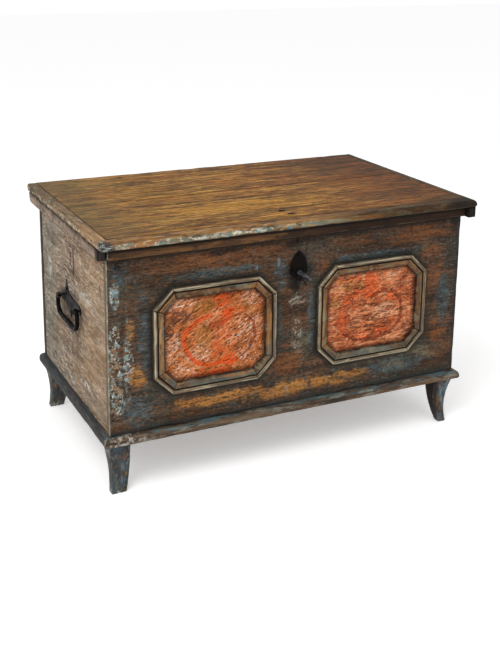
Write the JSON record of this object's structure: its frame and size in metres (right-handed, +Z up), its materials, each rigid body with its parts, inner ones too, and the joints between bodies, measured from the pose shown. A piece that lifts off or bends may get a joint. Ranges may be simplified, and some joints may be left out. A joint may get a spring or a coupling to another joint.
{
  "type": "lidded coffer",
  "caption": "Low painted wooden coffer on splayed feet, with a hinged plank lid, octagonal front mouldings, a spring lock with its key, and iron drop handles; it stores linen.",
  "frame": {"origin": "on the floor, in the middle of the footprint of the whole object", "axes": "+X to the right as seen from the front, along the length; +Y from the front to the back; +Z up"},
  "size_m": [1.046, 0.679, 0.6471],
  "materials": {
    "lid_wood": "worn, waxed softwood",
    "edging_wood": "worn, with remains of grey-green paint",
    "side_wood": "dry, greyed softwood",
    "painted_front": "faded slate-blue paint worn to brown wood, orange-red fields",
    "moulding_wood": "worn, greyed",
    "base_wood": "slate-grey paint, worn",
    "bare_wood": "unpainted, darkened softwood",
    "black_iron": "hammered, black, edges worn bright",
    "lock_iron": "filed, dull grey"
  },
  "bodies": {
    "case": {"back_board": "bare_wood", "base_back_rail": "bare_wood", "base_front_moulding": "base_wood", "base_left_moulding": "base_wood", "base_right_moulding": "base_wood", "bottom_board_front": "bare_wood", "bottom_board_rear": "bare_wood", "case_nails": "black_iron", "escutcheon": "black_iron", "front_board": "painted_front", "front_left_foot": "base_wood", "front_right_foot": "base_wood", "front_top_moulding": "painted_front", "left_handle_eyes": "black_iron", "left_handle_plate": "black_iron", "left_hinge_case_leaf": "black_iron", "left_hinge_pin": "black_iron", "left_octagon_bottom": "moulding_wood", "left_octagon_left": "moulding_wood", "left_octagon_lower_left": "moulding_wood", "left_octagon_lower_right": "moulding_wood", "left_octagon_right": "moulding_wood", "left_octagon_top": "moulding_wood", "left_octagon_upper_left": "moulding_wood", "left_octagon_upper_right": "moulding_wood", "left_side_board": "side_wood", "lock_case": "lock_iron", "lock_plate": "lock_iron", "lock_spring": "lock_iron", "rear_left_foot": "base_wood", "rear_right_foot": "base_wood", "right_handle_eyes": "black_iron", "right_handle_plate": "black_iron", "right_hinge_case_leaf": "black_iron", "right_hinge_pin": "black_iron", "right_octagon_bottom": "moulding_wood", "right_octagon_left": "moulding_wood", "right_octagon_lower_left": "moulding_wood", "right_octagon_lower_right": "moulding_wood", "right_octagon_right": "moulding_wood", "right_octagon_top": "moulding_wood", "right_octagon_upper_left": "moulding_wood", "right_octagon_upper_right": "moulding_wood", "right_side_board": "side_wood"},
    "lid": {"left_hinge_lid_leaf": "black_iron", "lid_board_front": "lid_wood", "lid_board_rear": "lid_wood", "lid_front_edging": "edging_wood", "lid_left_cleat": "edging_wood", "lid_left_edging": "edging_wood", "lid_nails": "black_iron", "lid_right_cleat": "edging_wood", "lid_right_edging": "edging_wood", "lid_staple": "black_iron", "right_hinge_lid_leaf": "black_iron", "staple_nails": "black_iron"},
    "left_bail": {"left_handle_bail": "black_iron"},
    "right_bail": {"right_handle_bail": "black_iron"},
    "key": {"key": "lock_iron"},
    "bolt": {"lock_bolt": "lock_iron"}
  },
  "joints": [
    {"name": "lid_hinge", "type": "hinge", "parent": "case", "child": "lid", "pos_m": [0, 0.3155, 0.619], "axis": [-1, 0, 0], "range_deg": [0, 100]},
    {"name": "left_bail_swing", "type": "hinge", "parent": "case", "child": "left_bail", "pos_m": [-0.512, 0.016, 0.398], "axis": [0, 1, 0], "range_deg": [0, 170]},
    {"name": "right_bail_swing", "type": "hinge", "parent": "case", "child": "right_bail", "pos_m": [0.512, 0.016, 0.398], "axis": [0, -1, 0], "range_deg": [0, 170]},
    {"name": "key_turn", "type": "hinge", "parent": "case", "child": "key", "pos_m": [0.004, -0.2775, 0.502], "axis": [0, 1, 0], "range_deg": [0, 100]},
    {"name": "bolt_slide", "type": "slide", "parent": "case", "child": "bolt", "axis": [1, 0, 0], "range_m": [0, 0.018]}
  ],
  "couplings": [
    {"joint": "bolt_slide", "follows": "key_turn", "m_per_rad": 0.010313}
  ]
}
